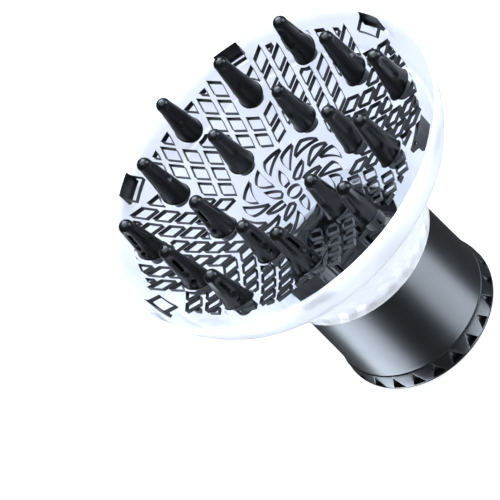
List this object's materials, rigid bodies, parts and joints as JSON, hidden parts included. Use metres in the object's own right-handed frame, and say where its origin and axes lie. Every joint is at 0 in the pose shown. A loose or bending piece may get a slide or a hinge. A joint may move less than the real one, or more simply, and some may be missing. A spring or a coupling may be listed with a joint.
{
  "type": "dryer diffuser",
  "caption": "Universal hair dryer diffuser: white bowl, black finger plate with lattice vents, and a twist collar whose iris leaves grip the dryer nozzle.",
  "frame": {"origin": "centre of the dryer mouth on the underside of the grip ring", "axes": "+Z along the air path from the dryer towards the fingers; +X points at an inner finger and a short outer finger"},
  "size_m": [0.1624, 0.1624, 0.147],
  "materials": {
    "bowl_white": "satin cold white",
    "plate_black": "satin black",
    "finger_black": "polished black",
    "collar_black": "satin black",
    "grip_black": "satin black",
    "inner_black": "moulded black",
    "leaf_black": "moulded dark grey",
    "pad_rubber": "soft grey",
    "ring_rubber": "soft black",
    "pin_steel": "drawn",
    "screw_steel": "zinc plated"
  },
  "bodies": {
    "diffuser": {"bowl": "bowl_white", "face_plate": "plate_black", "cam_carrier": "inner_black", "carrier_screws": "screw_steel", "friction_ring": "ring_rubber", "finger_inner_1": "finger_black", "finger_inner_2": "finger_black", "finger_inner_3": "finger_black", "finger_inner_4": "finger_black", "finger_inner_5": "finger_black", "finger_inner_6": "finger_black", "finger_short_1": "finger_black", "finger_short_2": "finger_black", "finger_short_3": "finger_black", "finger_short_4": "finger_black", "finger_short_5": "finger_black", "finger_short_6": "finger_black", "finger_tall_1": "finger_black", "finger_tall_2": "finger_black", "finger_tall_3": "finger_black", "finger_tall_4": "finger_black", "finger_tall_5": "finger_black", "finger_tall_6": "finger_black"},
    "collar": {"neck_collar": "collar_black", "grip_ring": "grip_black", "pivot_plate": "inner_black", "pivot_pins": "pin_steel"},
    "iris_1": {"leaf_1": "leaf_black", "pad_1": "pad_rubber"},
    "iris_2": {"leaf_2": "leaf_black", "pad_2": "pad_rubber"},
    "iris_3": {"leaf_3": "leaf_black", "pad_3": "pad_rubber"},
    "iris_4": {"leaf_4": "leaf_black", "pad_4": "pad_rubber"},
    "iris_5": {"leaf_5": "leaf_black", "pad_5": "pad_rubber"},
    "iris_6": {"leaf_6": "leaf_black", "pad_6": "pad_rubber"},
    "iris_7": {"leaf_7": "leaf_black", "pad_7": "pad_rubber"},
    "iris_8": {"leaf_8": "leaf_black", "pad_8": "pad_rubber"},
    "iris_9": {"leaf_9": "leaf_black", "pad_9": "pad_rubber"},
    "iris_10": {"leaf_10": "leaf_black", "pad_10": "pad_rubber"}
  },
  "joints": [
    {"name": "collar_twist", "type": "hinge", "parent": "diffuser", "child": "collar", "pos_m": [0, 0, 0.03], "axis": [0, 0, 1], "range_deg": [0, 30]},
    {"name": "leaf_1_swing", "type": "hinge", "parent": "collar", "child": "iris_1", "pos_m": [0.033, 0, 0.025], "axis": [0, 0, 1], "range_deg": [0, 42]},
    {"name": "leaf_2_swing", "type": "hinge", "parent": "collar", "child": "iris_2", "pos_m": [0.0267, 0.0194, 0.025], "axis": [0, 0, 1], "range_deg": [0, 42]},
    {"name": "leaf_3_swing", "type": "hinge", "parent": "collar", "child": "iris_3", "pos_m": [0.0102, 0.03139, 0.025], "axis": [0, 0, 1], "range_deg": [0, 42]},
    {"name": "leaf_4_swing", "type": "hinge", "parent": "collar", "child": "iris_4", "pos_m": [-0.0102, 0.03139, 0.025], "axis": [0, 0, 1], "range_deg": [0, 42]},
    {"name": "leaf_5_swing", "type": "hinge", "parent": "collar", "child": "iris_5", "pos_m": [-0.0267, 0.0194, 0.025], "axis": [0, 0, 1], "range_deg": [0, 42]},
    {"name": "leaf_6_swing", "type": "hinge", "parent": "collar", "child": "iris_6", "pos_m": [-0.033, 0, 0.025], "axis": [0, 0, 1], "range_deg": [0, 42]},
    {"name": "leaf_7_swing", "type": "hinge", "parent": "collar", "child": "iris_7", "pos_m": [-0.0267, -0.0194, 0.025], "axis": [0, 0, 1], "range_deg": [0, 42]},
    {"name": "leaf_8_swing", "type": "hinge", "parent": "collar", "child": "iris_8", "pos_m": [-0.0102, -0.03139, 0.025], "axis": [0, 0, 1], "range_deg": [0, 42]},
    {"name": "leaf_9_swing", "type": "hinge", "parent": "collar", "child": "iris_9", "pos_m": [0.0102, -0.03139, 0.025], "axis": [0, 0, 1], "range_deg": [0, 42]},
    {"name": "leaf_10_swing", "type": "hinge", "parent": "collar", "child": "iris_10", "pos_m": [0.0267, -0.0194, 0.025], "axis": [0, 0, 1], "range_deg": [0, 42]}
  ],
  "couplings": [
    {"joint": "leaf_1_swing", "follows": "collar_twist", "ratio": 1.4},
    {"joint": "leaf_2_swing", "follows": "collar_twist", "ratio": 1.4},
    {"joint": "leaf_3_swing", "follows": "collar_twist", "ratio": 1.4},
    {"joint": "leaf_4_swing", "follows": "collar_twist", "ratio": 1.4},
    {"joint": "leaf_5_swing", "follows": "collar_twist", "ratio": 1.4},
    {"joint": "leaf_6_swing", "follows": "collar_twist", "ratio": 1.4},
    {"joint": "leaf_7_swing", "follows": "collar_twist", "ratio": 1.4},
    {"joint": "leaf_8_swing", "follows": "collar_twist", "ratio": 1.4},
    {"joint": "leaf_9_swing", "follows": "collar_twist", "ratio": 1.4},
    {"joint": "leaf_10_swing", "follows": "collar_twist", "ratio": 1.4}
  ]
}
